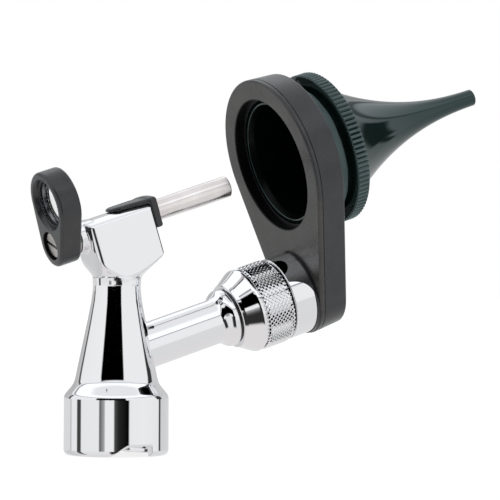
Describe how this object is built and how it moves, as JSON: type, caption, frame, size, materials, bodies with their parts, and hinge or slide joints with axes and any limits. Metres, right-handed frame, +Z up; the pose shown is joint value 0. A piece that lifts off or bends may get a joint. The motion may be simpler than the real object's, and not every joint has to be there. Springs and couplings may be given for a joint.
{
  "type": "otoscope",
  "caption": "Operating otoscope head: bayonet handle socket, swinging loupe, plug-in lamp and a swivelling carrier with a pull-off ear speculum.",
  "frame": {"origin": "centre of the handle socket's rim, at the bottom of the head", "axes": "+Z up the socket's axis to the head block, +X towards the patient in the plane that holds the socket, the arm and the lamp"},
  "size_m": [0.1117, 0.0398, 0.0869],
  "materials": {
    "chrome": "polished",
    "brass": "machined",
    "steel": "machined",
    "lamp_metal": "satin",
    "glass": "clear",
    "insulation": "moulded",
    "wire": "sleeved",
    "black": "fine grained",
    "green": "polished"
  },
  "bodies": {
    "head": {"head_body": "chrome", "arm_tube": "chrome", "arm_bush": "brass", "socket_ring": "steel", "contact_insulator": "insulation", "contact_spring": "steel", "contact_cap": "brass", "feed_wire": "wire", "lamp_socket": "brass", "lamp_contact": "brass", "loupe_screw": "steel", "loupe_spring_washer": "steel", "thrust_washer": "insulation", "spindle_washer": "steel"},
    "contact": {"contact_pin": "brass"},
    "lamp": {"lamp_tube": "lamp_metal", "lamp_bulb": "glass", "lamp_window": "glass", "lamp_base": "insulation", "lamp_pin": "brass", "lamp_clip": "black"},
    "loupe": {"loupe_frame": "black", "loupe_lens": "glass", "loupe_lens_ring": "black", "loupe_bush": "brass"},
    "carrier": {"swivel_spindle": "steel", "spindle_clip": "steel", "swivel_collar": "chrome", "swivel_spring": "steel", "carrier_washer": "black", "carrier_plate": "black", "carrier_cover": "black", "carrier_screw": "steel", "cover_screws": "steel", "speculum_spring": "steel"},
    "nut": {"lock_nut": "chrome"},
    "speculum": {"speculum": "green"}
  },
  "joints": [
    {"name": "contact_press", "type": "slide", "parent": "head", "child": "contact", "axis": [0, 0, 1], "range_m": [0, 0.0012], "stiffness_N_per_m": 800, "springref_m": -0.002, "deforming": ["contact_spring"]},
    {"name": "lamp_pull", "type": "slide", "parent": "head", "child": "lamp", "axis": [0.9527, 0, 0.304], "range_m": [0, 0.012]},
    {"name": "loupe_swing", "type": "hinge", "parent": "head", "child": "loupe", "pos_m": [-0.00863, 0, 0.04896], "axis": [0.9527, 0, 0.304], "range_deg": [-165, 120]},
    {"name": "carrier_swivel", "type": "hinge", "parent": "head", "child": "carrier", "pos_m": [0, 0, 0.0219], "axis": [0.9527, 0, 0.304], "continuous": true},
    {"name": "nut_turn", "type": "hinge", "parent": "carrier", "child": "nut", "pos_m": [0, 0, 0.0219], "axis": [0.9527, 0, 0.304], "range_deg": [-180, 0]},
    {"name": "speculum_pull", "type": "slide", "parent": "carrier", "child": "speculum", "axis": [0.9527, 0, 0.304], "range_m": [0, 0.02]}
  ]
}
